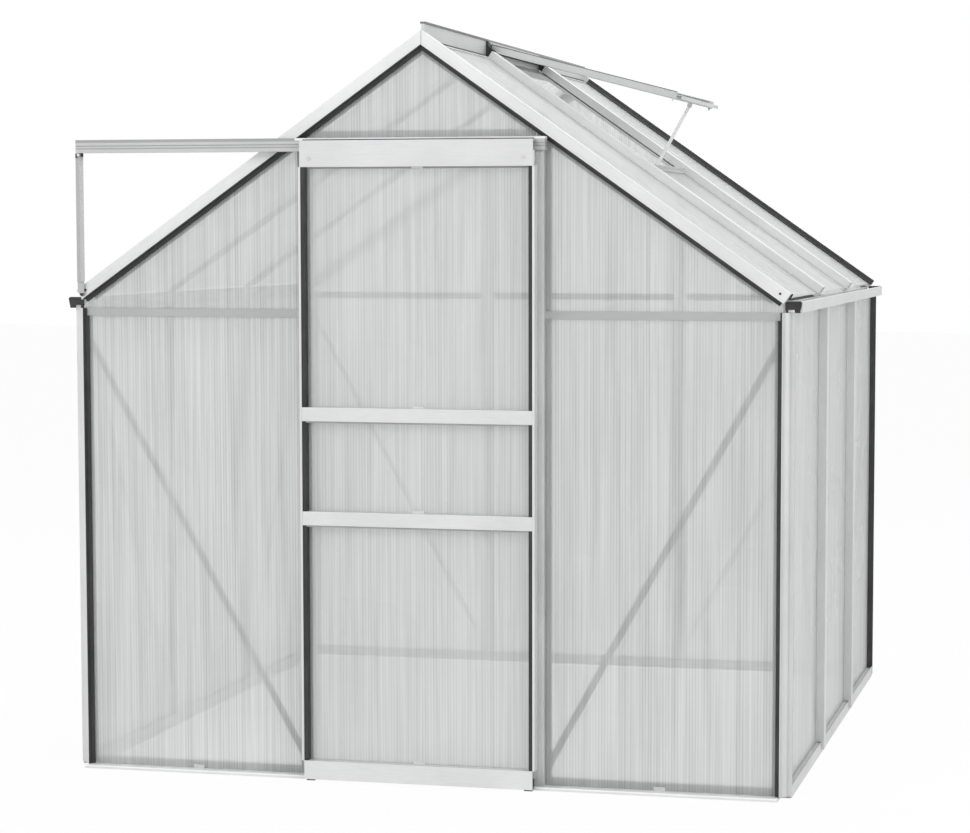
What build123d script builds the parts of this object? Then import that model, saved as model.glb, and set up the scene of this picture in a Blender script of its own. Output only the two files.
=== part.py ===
from build123d import *
import math
import os

os.makedirs("parts", exist_ok=True)

# Main sizes, in millimetres. The frame stands on z = 0, the door faces -Y and the vent is on the +X slope.
WIDTH = 1930.0
DEPTH = 1950.0
EAVE = 1264.0
PITCH = 35.0
BAR_OFFSET = 325.0

# Extrusions and sheet
WALL = 2.0
FIN = 17.0
INSET = 13.0
SEAT = 20.0
SHEET = 4.0
SEAL_WIDTH = 12.0
SEAL_LEG = 2.5
SEAL_FOOT = 3.5
SEAL_NARROW = 6.0
SEAL_BACK = 6.0
ROOF_SEAL_PAST = 4.0
ROUND_RADIUS = 17.0
FASCIA = 11.0
BAR_WIDTH = 42.0
BAR_PROUD = 22.0
BAR_FOOT = 9.0
CHANNEL_WIDTH = 14.0
CHANNEL_SLOT = 6.5
BRACE_WIDTH = 18.0
EDGE_GAP = 0.5
FIT_GAP = 0.05

# Sills
SILL_LEDGE = 5.5
SILL_HEIGHT = 30.5
SILL_UPSTAND = 26.0
SILL_FLANGE = 48.0
LIP_OUT = 28.0
LIP_HEIGHT = 9.0
ANCHOR_SPACING = 1400.0
ANCHOR_RADIUS = 4.5
ANCHOR_INSET = 36.5
SILL_OUT = 15.0
UPSTAND_GAP = 3.0

# Eaves, rafters and ridge
GUTTER_DROP = 32.0
GUTTER_DEPTH = 27.0
GUTTER_OUT = 34.0
GUTTER_BACK = 1.0
GUTTER_END = 25.0
CAP_THICK = 8.0
CAP_CORNER = 4.0
CAP_FOOT = 6.0
CAP_NOTCH = 19.0
CAP_NOTCH_HIGH = 8.0
CAP_TAPER = 5.0
RAFTER_END = 3.0
SEAT_STOP = 27.0
SCREW_RADIUS = 2.5
SCREW_BACK = 22.0
RIDGE_RISE = 43.2
RIDGE_HALF = 4.0
RIDGE_BEAD = 7.0
RIDGE_BEAD_THICK = 5.0
RIDGE_FLANGE = 36.0
RIDGE_END = 22.0
RIDGE_DROP = 18.0
RIDGE_PLATE_UP = 5.0
BAR_START = 18.0
PANE_TOP = 9.0
PANE_SHORT = 6.0
APEX_SEAM = 1.2

# Gables
POST_LAP = 13.0
POST_FACE = 24.0
POST_GROOVES = (7.0, 15.0)
POST_GROOVE_WIDTH = 2.5
POST_FLANGE = 40.0
POST_LEG = 23.0
CROSS_DROP = 32.0
CROSS_HEIGHT = 20.0
LINTEL_BELOW = 15.45
LINTEL_HEIGHT = 33.0
LINTEL_LIP = 14.0
BRACE_TOP_DROP = 112.0
BRACE_FOOT = 52.0
SIDE_BRACE_TOP_DROP = 66.0
BAR_BRACE_FOOT = 66.0

# Door and its track
DOOR_HALF = 313.0
DOOR_DEPTH = 32.0
DOOR_STANDOFF = 55.0
DOOR_SHEET = 26.0
DOOR_LIP = 6.0
DOOR_SEAL = 10.0
BOARD_HEIGHT = 68.0
BOARD_UP = 27.0
BOARD_FLANGE = 22.0
BOARD_PAST = 2.0
RAIL_LOW = 6.0
RAIL_HEIGHT = 49.0
RAIL_DROP = 25.0
RAIL_FOOT = 10.0
MIDDLE_RAILS = (691.0, 962.0)
MIDDLE_RAIL_HEIGHT = 42.0
MIDDLE_RAIL_PROUD = 6.0
TRACK_PAST = 2.0
TRACK_SPARE = 20.0
TRACK_BELOW = 21.0
TRACK_HEIGHT = 34.0
TRACK_SLOT_SPARE = 1.0
TRACK_GROOVES = (8.4, 15.4)
TRACK_GROOVE_WIDTH = 2.5
TRACK_DEPTH = 28.0
STOP_LENGTH = 12.0
STOP_HEIGHT = 13.0
STRUT_OUT = 3.5
STRUT_WIDTH = 22.0
STRUT_DEPTH = 9.0
STRUT_CORNER = 3.0
STRUT_WALL = 3.0
STRUT_START_UP = 38.0
STRUT_TAB_UP = 8.0
STRUT_TAB_HEIGHT = 34.0
STRUT_TAB_SIDE = 2.0
STRUT_TAB_WIDTH = 18.0
STRUT_PAD_WIDTH = 14.0
STRUT_PAD_HEIGHT = 12.0
HANGER_IN = 29.0
HANGER_WIDTH = 30.0
HANGER_THICK = 3.0
HANGER_TAIL = 10.0
HANGER_GAP = 1.0
BOLT_UP = 22.0
BOLT_LENGTH = 7.0
ROLLER_RADIUS = 13.0
ROLLER_WIDTH = 10.0
ROLLER_GAP = 0.3
AXLE_RADIUS = 3.0
AXLE_HEAD = 2.0
RUNNING = 0.06
GUIDE_IN = 20.0
GUIDE_WIDTH = 22.0
GUIDE_GAP = 1.2
GUIDE_PAST = 4.0
GUIDE_FLOOR = 0.8
GUIDE_LIFT = 1.5

# Vent and stay
HINGE_X = 8.0
HINGE_RISE = 32.2
HINGE_BEAD = 2.5
HINGE_GAP = 0.3
HINGE_WALL = 1.8
VENT_OPEN = 20.4
VENT_SIDE_GAP = 4.0
VENT_START = 16.0
VENT_LENGTH = 555.0
VENT_DEEP = 21.0
VENT_RAIL = 15.0
VENT_NOSE = 16.0
VENT_SHEET_DOWN = 10.0
VENT_NOSE_UP = 3.0
VENT_WALL_START = 7.0
VENT_WALL_BACK = 6.0
VENT_CORNER = 5.0
VENT_TAB_WIDTH = 12.0
VENT_TAB_DROP = 9.0
VENT_SILL_BACK = 8.0
VENT_SILL_HIGH = 12.5
VENT_SILL_WIDTH = 10.0
PIVOT_BACK = 14.0
PIVOT_DOWN = 30.0
STAY_WIDTH = 9.0
STAY_THICK = 5.0
STAY_WEB = 1.5
STAY_LENGTH = 292.0
STAY_CLOSED = 20.0
STAY_PIN = 2.0
PEG_SLACK = 0.4
EAR_THICK = 3.0
EAR_WALL = 4.0
EAR_GAP = 0.7
PEG_EAR_WALL = 3.0
PEG_EAR_GAP = 2.5
PIN_PAST = 1.5
PLUG_LENGTH = 16.0
PLUG_WIDTH = 5.0
PLUG_STEP = 6.0

SLOPE = math.radians(PITCH)
COS = math.cos(SLOPE)
SIN = math.sin(SLOPE)
SIDE = WIDTH / 2 - FIN
GABLE = DEPTH / 2 - FIN
APEX = EAVE + SIDE * SIN / COS
FIN_X = SIDE - INSET
FIN_Y = GABLE - INSET
GUTTER_BOTTOM = EAVE - GUTTER_DROP
GUTTER_WALL = FIN_X - GUTTER_BACK
CROSS_TOP = EAVE - CROSS_DROP
RAFTER_LENGTH = (FIN_X + RAFTER_END + INSET * SIN) / COS
RIDGE_Y = DEPTH / 2 - RIDGE_END
RIDGE_TOP = APEX + RIDGE_RISE
HINGE_Z = APEX + HINGE_RISE
POST_IN = DOOR_HALF - POST_LAP
POST_TOP = APEX - (INSET + SEAT) / COS - POST_IN * SIN / COS
LINTEL = POST_TOP - LINTEL_BELOW
TRACK_LOW = LINTEL - TRACK_BELOW
BOARD_TOP = TRACK_LOW + BOARD_UP
BOARD_LOW = BOARD_TOP - BOARD_HEIGHT
BOLT_Z = BOARD_LOW + BOLT_UP
HANGER_X = DOOR_HALF - HANGER_IN
GUIDE_X = DOOR_HALF - GUIDE_IN
VENT_HALF = BAR_OFFSET - BAR_WIDTH / 2 - VENT_SIDE_GAP
VENT_SILL_AT = VENT_LENGTH - VENT_SILL_BACK
PIVOT_ALONG = VENT_LENGTH - PIVOT_BACK

nodes = {}


def strips(*corners):
    """A section made of rectangles, each given by two opposite corners."""
    section = Sketch()
    for left, low, right, high in corners:
        section += Pos((left + right) / 2, (low + high) / 2) * Rectangle(abs(right - left), abs(high - low))
    return section


def outline(*points):
    """A section with straight sides through the points."""
    return make_face(Polyline(*points, close=True))


def run(section, plane, start, end):
    """Draw a section along the normal of its plane, between two distances."""
    return extrude(plane.offset(start) * section, end - start, dir=plane.z_dir)


def block(low, high):
    """A box between two opposite corners."""
    size = [b - a for a, b in zip(low, high)]
    centre = [(a + b) / 2 for a, b in zip(low, high)]
    return Pos(*centre) * Box(*size)


def across(solid):
    """The same piece on the other side of the house."""
    return mirror(solid, about=Plane.YZ)


def behind(solid):
    """The same piece at the other end of the house."""
    return mirror(solid, about=Plane.XZ)


def slope_plane(y):
    """Local x runs along +Y, local y out of the right slope and local z down it from the apex."""
    return Plane(origin=(0, y, APEX), x_dir=(0, 1, 0), z_dir=(COS, 0, -SIN))


def on_slope(down, out):
    """The x and z of a point on the right slope."""
    return (down * COS + out * SIN, APEX - down * SIN + out * COS)


def slope_height(x, out):
    """Height of the plane that lies out from the right slope's sheet, at x."""
    return APEX + out / COS - abs(x) * SIN / COS


def above_slopes(out):
    """Everything above the two planes that lie out from the slopes."""
    right = run(strips((-DEPTH, out, DEPTH, WIDTH)), slope_plane(0), -WIDTH, 2 * WIDTH)
    return right + across(right)


def flat_bar(start, end, width, thick):
    """A flat bar with round ends between two points of the XY plane, rising by its thickness."""
    length = math.dist(start, end)
    angle = math.degrees(math.atan2(end[1] - start[1], end[0] - start[0]))
    middle = ((start[0] + end[0]) / 2, (start[1] + end[1]) / 2)
    return extrude(Pos(*middle) * Rot(0, 0, angle) * SlotCenterToCenter(length, width), thick)


def node(name, *solids):
    """Keep a named sub-part, which may be a group of separate solids."""
    pieces = []
    for solid in solids:
        pieces.extend(solid.solids())
    nodes[name] = pieces


# Sills
lip_y = DEPTH / 2 + LIP_OUT
tip_y = DEPTH / 2
sill_x = SIDE + SILL_OUT
sill_y = GABLE + SILL_OUT
upstand_x = FIN_X + UPSTAND_GAP
upstand_y = FIN_Y + UPSTAND_GAP
sill_side = strips(
    (sill_x - SILL_FLANGE, 0, sill_x, WALL),
    (sill_x - WALL, 0, sill_x, SILL_HEIGHT),
    (upstand_x, 0, upstand_x + WALL, SILL_UPSTAND),
    (upstand_x, SILL_LEDGE - WALL, sill_x, SILL_LEDGE),
)
sill_right = run(sill_side, Plane.XZ, -FIN_Y, FIN_Y)
for anchor_y in (-ANCHOR_SPACING / 2, ANCHOR_SPACING / 2):
    sill_right -= Pos(sill_x - ANCHOR_INSET, anchor_y, 0) * Cylinder(ANCHOR_RADIUS, 4 * WALL)
sill_rear = strips(
    (FIN_Y, 0, sill_y, WALL),
    (sill_y - WALL, 0, sill_y, SILL_HEIGHT),
    (upstand_y, 0, upstand_y + WALL, SILL_UPSTAND),
    (upstand_y, SILL_LEDGE - WALL, sill_y, SILL_LEDGE),
)
sill_front = strips(
    (-lip_y, 0, -FIN_Y, WALL),
    (-lip_y, 0, -lip_y + WALL, LIP_HEIGHT),
    (-tip_y, 0, -tip_y + WALL, SILL_LEDGE),
    (-tip_y, SILL_LEDGE - WALL, -upstand_y, SILL_LEDGE),
    (-upstand_y - WALL, 0, -upstand_y, SILL_UPSTAND),
)
node("sill_right", sill_right)
node("sill_left", across(sill_right))
node("sill_rear", run(sill_rear, Plane.YZ, -FIN_X, FIN_X))
node("sill_front", run(sill_front, Plane.YZ, -FIN_X, FIN_X))

# Corner posts, drawn from the corner where the two sheets would meet
post_section = strips(
    (-INSET, -INSET, WALL - INSET, FIN),
    (-INSET, -INSET, FIN, WALL - INSET),
    (-INSET - SEAT, -SHEET - WALL, -INSET, -SHEET),
    (-SHEET - WALL, -INSET - SEAT, -SHEET, -INSET),
)
round_centre = Pos(WALL - INSET, WALL - INSET)
quarter = round_centre * (Circle(ROUND_RADIUS) - Circle(ROUND_RADIUS - WALL))
quarter &= strips((WALL - INSET, WALL - INSET, FIN, FIN))
post_section += quarter
corner_post = run(Pos(SIDE, GABLE) * post_section, Plane.XY, SILL_LEDGE, GUTTER_BOTTOM)
node("corner_post_rear_right", corner_post)
node("corner_post_rear_left", across(corner_post))
node("corner_post_front_right", behind(corner_post))
node("corner_post_front_left", across(behind(corner_post)))

# Rafters, drawn from the line where the roof and gable sheets would meet
ridge_gap = block((-RIDGE_HALF, -RIDGE_Y, 0), (RIDGE_HALF, RIDGE_Y, 2 * EAVE))
left_half = block((-WIDTH, -DEPTH, -EAVE), (0, DEPTH, 2 * EAVE))
past_seam = block((-WIDTH, -DEPTH, -EAVE), (APEX_SEAM / 2, DEPTH, 2 * EAVE))
rafter_fins = strips(
    (-INSET, -INSET, FIN, WALL - INSET),
    (-INSET, -INSET, WALL - INSET, FIN),
    (FASCIA - WALL, -INSET, FASCIA, FIN),
    (-INSET, FIN - WALL, FASCIA, FIN),
)
rafter = run(rafter_fins, slope_plane(GABLE), -FIN, RAFTER_LENGTH)
gable_seat = strips((-SHEET - WALL, -INSET - SEAT, -SHEET, -INSET))
rafter += run(gable_seat, slope_plane(GABLE), -2 * FIN, RAFTER_LENGTH - SEAT_STOP)
roof_seat = strips((-INSET - SEAT, -SHEET - WALL, -INSET, -SHEET))
rafter += run(roof_seat, slope_plane(GABLE), RIDGE_FLANGE, RAFTER_LENGTH - SEAT_STOP)
screw_x, screw_z = on_slope(RAFTER_LENGTH - SCREW_BACK, WALL)
rafter -= Pos(screw_x, GABLE + FASCIA, screw_z) * Rot(90, 0, 0) * Cylinder(SCREW_RADIUS, 3 * WALL)
rafter -= ridge_gap
rafter -= past_seam
node("rafter_rear_right", rafter)
node("rafter_rear_left", across(rafter))
node("rafter_front_right", behind(rafter))
node("rafter_front_left", across(behind(rafter)))

# Glazing bars, which the side walls, the roof and the rear gable share
half_bar = BAR_WIDTH / 2
half_channel = CHANNEL_WIDTH / 2
bar_outer = strips(
    (-half_bar, BAR_PROUD - WALL, half_bar, BAR_PROUD),
    (-half_bar, 0, WALL - half_bar, BAR_PROUD),
    (half_bar - WALL, 0, half_bar, BAR_PROUD),
    (-WALL / 2, -SHEET - WALL, WALL / 2, BAR_PROUD),
)
bar_inner = strips(
    (-half_bar, -SHEET - WALL, half_bar, -SHEET),
    (-half_channel, -INSET, WALL - half_channel, -SHEET),
    (half_channel - WALL, -INSET, half_channel, -SHEET),
    (-half_channel, -INSET, -CHANNEL_SLOT / 2, WALL - INSET),
    (CHANNEL_SLOT / 2, -INSET, half_channel, WALL - INSET),
)
bar_foot = bar_outer - strips((-half_bar, -SHEET - WALL, half_bar, SILL_OUT + EDGE_GAP))
side_plane = Plane(origin=(SIDE, 0, 0), x_dir=(0, 1, 0), z_dir=(0, 0, -1))
side_bars = []
roof_bars = []
for bar_y in (-BAR_OFFSET, BAR_OFFSET):
    section = Pos(bar_y, 0) * (bar_outer + bar_inner)
    side_bar = run(section, side_plane, -GUTTER_BOTTOM, -SILL_HEIGHT)
    side_bar += run(Pos(bar_y, 0) * bar_foot, side_plane, -SILL_HEIGHT, -BAR_FOOT)
    side_bars.append(side_bar)
    roof_bar = run(Pos(bar_y, 0) * bar_outer, slope_plane(0), BAR_START, RAFTER_LENGTH)
    roof_bar += run(Pos(bar_y, 0) * bar_inner, slope_plane(0), RIDGE_FLANGE, RAFTER_LENGTH)
    roof_bar -= run(strips((-DEPTH, -2 * INSET, DEPTH, -SHEET)), slope_plane(0), 0, RIDGE_FLANGE)
    roof_bars.append(roof_bar)
node("side_bars_right", *side_bars)
node("side_bars_left", *[across(bar) for bar in side_bars])
node("roof_bars_right", *roof_bars)
node("roof_bars_left", *[across(bar) for bar in roof_bars])

rear_plane = Plane(origin=(0, GABLE, 0), x_dir=(1, 0, 0), z_dir=(0, 0, 1))
rear_bar = run(Pos(BAR_OFFSET, 0) * (bar_outer + bar_inner), rear_plane, SILL_HEIGHT, APEX)
rear_bar -= above_slopes(-INSET - SEAT)
node("rear_gable_bars", rear_bar, across(rear_bar))

# Gutters and their end caps
gutter_out = SIDE + GUTTER_OUT
wall_top = slope_height(GUTTER_WALL, -INSET)
wall_top_out = slope_height(GUTTER_WALL + WALL, -INSET)
gutter_section = outline(
    (GUTTER_WALL, GUTTER_BOTTOM),
    (gutter_out, GUTTER_BOTTOM),
    (gutter_out, GUTTER_BOTTOM + GUTTER_DEPTH),
    (gutter_out - WALL, GUTTER_BOTTOM + GUTTER_DEPTH),
    (gutter_out - WALL, GUTTER_BOTTOM + WALL),
    (GUTTER_WALL + WALL, GUTTER_BOTTOM + WALL),
    (GUTTER_WALL + WALL, wall_top_out),
    (GUTTER_WALL, wall_top),
)
gutter_y = DEPTH / 2 - GUTTER_END
gutter = run(gutter_section, Plane.XZ, -gutter_y, gutter_y)
node("gutter_right", gutter)
node("gutter_left", across(gutter))
cap_in = FIN_X + RAFTER_END + WALL
cap_top = GUTTER_BOTTOM + GUTTER_DEPTH + WALL
notch_in = cap_in + CAP_FOOT
notch_out = notch_in + CAP_NOTCH
notch_top = GUTTER_BOTTOM + CAP_NOTCH_HIGH
cap_section = outline(
    (cap_in, GUTTER_BOTTOM + CAP_NOTCH_HIGH),
    (cap_in + CAP_FOOT / 2, GUTTER_BOTTOM),
    (notch_in, GUTTER_BOTTOM),
    (notch_in + WALL, notch_top),
    (notch_out - WALL, notch_top),
    (notch_out, GUTTER_BOTTOM),
    (gutter_out - CAP_TAPER, GUTTER_BOTTOM),
    (gutter_out, cap_top - CAP_CORNER),
    (gutter_out - CAP_CORNER, cap_top),
    (cap_in + CAP_CORNER, cap_top),
    (cap_in, cap_top - CAP_CORNER),
)
cap = run(cap_section, Plane.XZ, -gutter_y - CAP_THICK, -gutter_y)
node("gutter_end_caps", cap, across(cap), behind(cap), across(behind(cap)))

# Ridge bar with a hinge groove on each side
groove = Circle(HINGE_BEAD + HINGE_GAP + HINGE_WALL) - Circle(HINGE_BEAD + HINGE_GAP)
mouth = outline((0, 0), (6, 2.6), (12, 0), (12, -12), (3.5, -7))
groove_right = Pos(HINGE_X, HINGE_Z) * (groove - mouth)
flange_low = on_slope(RIDGE_FLANGE, -SHEET - WALL)
flange_high = on_slope(RIDGE_FLANGE, -SHEET)
flange_right = outline(
    (RIDGE_HALF - WALL, slope_height(RIDGE_HALF - WALL, -SHEET - WALL)),
    flange_low,
    flange_high,
    (RIDGE_HALF - WALL, slope_height(RIDGE_HALF - WALL, -SHEET)),
)
ridge_fin = strips(
    (-RIDGE_HALF, APEX - RIDGE_DROP, WALL - RIDGE_HALF, RIDGE_TOP),
    (RIDGE_HALF - WALL, APEX - RIDGE_DROP, RIDGE_HALF, RIDGE_TOP),
    (-RIDGE_HALF, APEX - RIDGE_DROP, RIDGE_HALF, APEX - RIDGE_DROP + WALL),
    (-RIDGE_BEAD, RIDGE_TOP - RIDGE_BEAD_THICK, RIDGE_BEAD, RIDGE_TOP),
)
groove_right += strips((RIDGE_HALF - WALL, HINGE_Z - WALL, HINGE_X - HINGE_BEAD - HINGE_GAP, HINGE_Z + WALL))
ridge = run(ridge_fin, Plane.XZ, -RIDGE_Y, RIDGE_Y)
groove_y = BAR_OFFSET - half_bar
groove_bar = run(groove_right, Plane.XZ, -groove_y, groove_y)
ridge_plate = strips((-RIDGE_HALF, APEX + RIDGE_PLATE_UP, RIDGE_HALF, RIDGE_TOP))
ridge += run(ridge_plate, Plane.XZ, RIDGE_Y - WALL, RIDGE_Y)
ridge += run(ridge_plate, Plane.XZ, -RIDGE_Y, WALL - RIDGE_Y)
ridge += groove_bar
ridge += across(groove_bar)
flange_y = GABLE - INSET - SEAT - EDGE_GAP
flange = run(flange_right, Plane.XZ, -flange_y, flange_y)
ridge += flange
ridge += across(flange)
node("ridge_bar", ridge)

plug_top = RIDGE_TOP - RIDGE_BEAD_THICK
plug_out = RIDGE_HALF + PLUG_WIDTH
plug_section = outline(
    (RIDGE_HALF, plug_top),
    (plug_out, plug_top),
    (plug_out, HINGE_Z - PLUG_STEP),
    on_slope(BAR_START, BAR_PROUD + WALL),
    on_slope(BAR_START, EDGE_GAP),
    (RIDGE_HALF, slope_height(RIDGE_HALF, EDGE_GAP)),
)
plug_y = BAR_OFFSET - half_bar + WALL
plug = run(plug_section, Plane.XZ, plug_y, plug_y + PLUG_LENGTH)
node("ridge_plugs", plug, behind(plug))

# Front gable: door posts, cross bars and lintel
post_front = DEPTH / 2
door_post_section = strips(
    (POST_IN, -post_front, POST_IN + POST_FACE, -post_front + WALL),
    (POST_IN, -post_front, POST_IN + WALL, -GABLE + POST_LEG),
    (POST_IN + POST_FACE - WALL, -post_front, POST_IN + POST_FACE, -GABLE),
    (POST_IN, -GABLE + SHEET, POST_IN + POST_FLANGE, -GABLE + SHEET + WALL),
)
for groove_in in POST_GROOVES:
    groove_x = POST_IN + groove_in
    door_post_section -= strips((groove_x, -post_front, groove_x + POST_GROOVE_WIDTH, -post_front + WALL / 2))
door_post = run(door_post_section, Plane.XY, SILL_LEDGE, APEX)
door_post -= block((0, -upstand_y - WALL - EDGE_GAP, 0), (WIDTH, 0, SILL_UPSTAND + EDGE_GAP))
door_post -= above_slopes(-INSET - SEAT)
node("door_post_right", door_post)
node("door_post_left", across(door_post))

cross_mid = CROSS_TOP - CROSS_HEIGHT / 2
cross_low = CROSS_TOP - CROSS_HEIGHT
cross_outer = strips(
    (GABLE, cross_low, GABLE + WALL, CROSS_TOP),
    (GABLE - SHEET - WALL, cross_mid - WALL / 2, GABLE + WALL, cross_mid + WALL / 2),
)
cross_inner = strips((GABLE - SHEET - WALL, cross_low, GABLE - SHEET, CROSS_TOP))
seat_x = FIN_X - SEAT
seal_x = FIN_X - SEAL_NARROW


def cross_bar(outer_start, outer_end, inner_start, inner_end):
    bar = run(cross_outer, Plane.YZ, max(outer_start, inner_start), min(outer_end, inner_end))
    bar += run(cross_inner, Plane.YZ, inner_start, inner_end)
    lip = strips((GABLE, cross_low, GABLE + WALL, CROSS_TOP))
    bar += run(lip, Plane.YZ, outer_start, outer_end)
    return bar


front_cross = behind(cross_bar(POST_IN + POST_FACE, seal_x, POST_IN + POST_FLANGE, seat_x))
rear_edge = BAR_OFFSET + half_bar
rear_cross = cross_bar(rear_edge, seal_x, rear_edge, seat_x)
inner_edge = BAR_OFFSET - half_bar
rear_middle = cross_bar(-inner_edge, inner_edge, -inner_edge, inner_edge)
node("cross_bars", front_cross, across(front_cross), rear_cross, across(rear_cross), rear_middle)

lintel_section = strips(
    (-GABLE - WALL, LINTEL, -GABLE, LINTEL + LINTEL_LIP),
    (-GABLE + SHEET, LINTEL, -GABLE + SHEET + WALL, LINTEL + LINTEL_HEIGHT),
    (-GABLE - WALL, LINTEL, -GABLE + SHEET + WALL, LINTEL + WALL),
)
lintel = run(lintel_section, Plane.YZ, -POST_IN, POST_IN) - above_slopes(-INSET - SEAT)
node("door_lintel", lintel)

# Wind braces, flat against the inside of the posts and bars
brace_reach = BRACE_WIDTH / 2 + 1
gable_face = GABLE - SHEET - WALL
gable_plane = Plane(origin=(0, -gable_face, 0), x_dir=(1, 0, 0), z_dir=(0, -1, 0))
brace_top = (FIN_X - brace_reach, EAVE - BRACE_TOP_DROP)
front_foot = (POST_IN + POST_FLANGE - brace_reach, BRACE_FOOT)
front_brace = gable_plane * flat_bar(brace_top, front_foot, BRACE_WIDTH, -WALL)
rear_foot = (BAR_OFFSET + half_channel + brace_reach, BAR_BRACE_FOOT)
rear_brace = behind(gable_plane * flat_bar(brace_top, rear_foot, BRACE_WIDTH, -WALL))
gable_braces = [front_brace, across(front_brace), rear_brace, across(rear_brace)]
side_face = Plane(origin=(SIDE - SHEET - WALL, 0, 0), x_dir=(0, 1, 0), z_dir=(1, 0, 0))
side_top = (-FIN_Y + brace_reach, EAVE - SIDE_BRACE_TOP_DROP)
side_foot = (-BAR_OFFSET - half_channel - brace_reach, BAR_BRACE_FOOT)
side_brace = side_face * flat_bar(side_top, side_foot, BRACE_WIDTH, -WALL)
side_braces = [side_brace, across(side_brace), behind(side_brace), across(behind(side_brace))]
node("wind_braces", *gable_braces, *side_braces)

# Glazing of the walls
bar_edge = BAR_OFFSET + WALL / 2 + EDGE_GAP
bar_edge_in = BAR_OFFSET - WALL / 2 - EDGE_GAP
post_edge = POST_IN + WALL + EDGE_GAP
gable_edge = FIN_X - EDGE_GAP
side_edge = FIN_Y - EDGE_GAP
cross_under = cross_mid - WALL / 2
cross_over = cross_mid + WALL / 2
sheet_line = -INSET - EDGE_GAP
front_sheet = Plane(origin=(0, -GABLE + SHEET, 0), x_dir=(1, 0, 0), z_dir=(0, -1, 0))


def gable_sheet(*points):
    return extrude(front_sheet * outline(*points), SHEET, dir=(0, -1, 0))


def lower_sheet(inner, outer):
    return gable_sheet((inner, SILL_LEDGE), (outer, SILL_LEDGE), (outer, cross_under), (inner, cross_under))


def upper_sheet(inner, outer):
    return gable_sheet(
        (inner, cross_over),
        (outer, cross_over),
        (outer, slope_height(outer, sheet_line)),
        (inner, slope_height(inner, sheet_line)),
    )


def peak_sheet(half, low):
    sheet = gable_sheet((-half, low), (half, low), (half, RIDGE_TOP), (-half, RIDGE_TOP))
    return sheet - above_slopes(sheet_line)


front_low = lower_sheet(post_edge, gable_edge)
front_high = upper_sheet(post_edge, gable_edge)
front_peak = peak_sheet(POST_IN - EDGE_GAP, LINTEL + WALL)
node("front_panes", front_low, across(front_low), front_high, across(front_high), front_peak)
rear_low = behind(lower_sheet(bar_edge, gable_edge))
rear_high = behind(upper_sheet(bar_edge, gable_edge))
rear_middle_low = behind(lower_sheet(-bar_edge_in, bar_edge_in))
rear_peak = behind(peak_sheet(bar_edge_in, cross_over))
node("rear_panes", rear_low, across(rear_low), rear_high, across(rear_high), rear_middle_low, rear_peak)

bays = ((-side_edge, -bar_edge), (-bar_edge_in, bar_edge_in), (bar_edge, side_edge))
side_panes = []
for near, far in bays:
    side_panes.append(block((SIDE - SHEET, near, SILL_LEDGE), (SIDE, far, GUTTER_BOTTOM)))
node("side_panes_right", *side_panes)
node("side_panes_left", *[across(pane) for pane in side_panes])

# Glazing of the roof
pane_end = RAFTER_LENGTH - PANE_SHORT
vent_pane_start = VENT_SILL_AT + WALL + EDGE_GAP


def roof_pane(near, far, start):
    return run(strips((near, -SHEET, far, 0)), slope_plane(0), start, pane_end)


roof_left = [across(roof_pane(near, far, PANE_TOP)) for near, far in bays]
starts = (PANE_TOP, vent_pane_start, PANE_TOP)
roof_right = [roof_pane(near, far, start) for (near, far), start in zip(bays, starts)]
node("roof_panes_left", *roof_left)
node("roof_panes_right", *roof_right)

# Rubber seals beside the fins
lip = SEAL_WIDTH - SEAL_LEG - 2
seal_across = outline(
    (-INSET, FIN),
    (-INSET - SEAL_LEG, FIN),
    (-INSET - SEAL_WIDTH + lip, SEAL_FOOT * 2),
    (-INSET - SEAL_WIDTH, SEAL_FOOT),
    (-INSET - SEAL_WIDTH, 0),
    (-INSET, 0),
)
seal_up = outline(
    (FIN, -INSET),
    (FIN, -INSET - SEAL_LEG),
    (SEAL_FOOT * 2, -INSET - SEAL_WIDTH + lip),
    (SEAL_FOOT, -INSET - SEAL_WIDTH),
    (0, -INSET - SEAL_WIDTH),
    (0, -INSET),
)
corner = Pos(SIDE, GABLE)
narrow_seal = seal_across & strips((-INSET - SEAL_NARROW, 0, -INSET, FIN))
narrow_top = run(corner * narrow_seal, Plane.XY, cross_low, GUTTER_BOTTOM)
post_seal = run(corner * seal_across, Plane.XY, SILL_HEIGHT, cross_low) + narrow_top
front_post_seal = behind(run(corner * seal_across, Plane.XY, SILL_LEDGE, cross_low) + narrow_top)
rafter_seal = run(seal_up, slope_plane(GABLE), -WIDTH / 4, RAFTER_LENGTH - SEAL_BACK)
rafter_seal -= left_half
front_rafter_seal = behind(rafter_seal)
gable_seals = [front_post_seal, front_rafter_seal, post_seal, rafter_seal]
node("gable_seals", *gable_seals, *[across(seal) for seal in gable_seals])
side_seal = run(corner * seal_up, Plane.XY, SILL_HEIGHT, GUTTER_BOTTOM)
node("side_seals", side_seal, across(side_seal), behind(side_seal), across(behind(side_seal)))
roof_seal = run(seal_across, slope_plane(GABLE), BAR_START, RAFTER_LENGTH + ROOF_SEAL_PAST)
node("roof_seals", roof_seal, across(roof_seal), behind(roof_seal), across(behind(roof_seal)))

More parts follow.
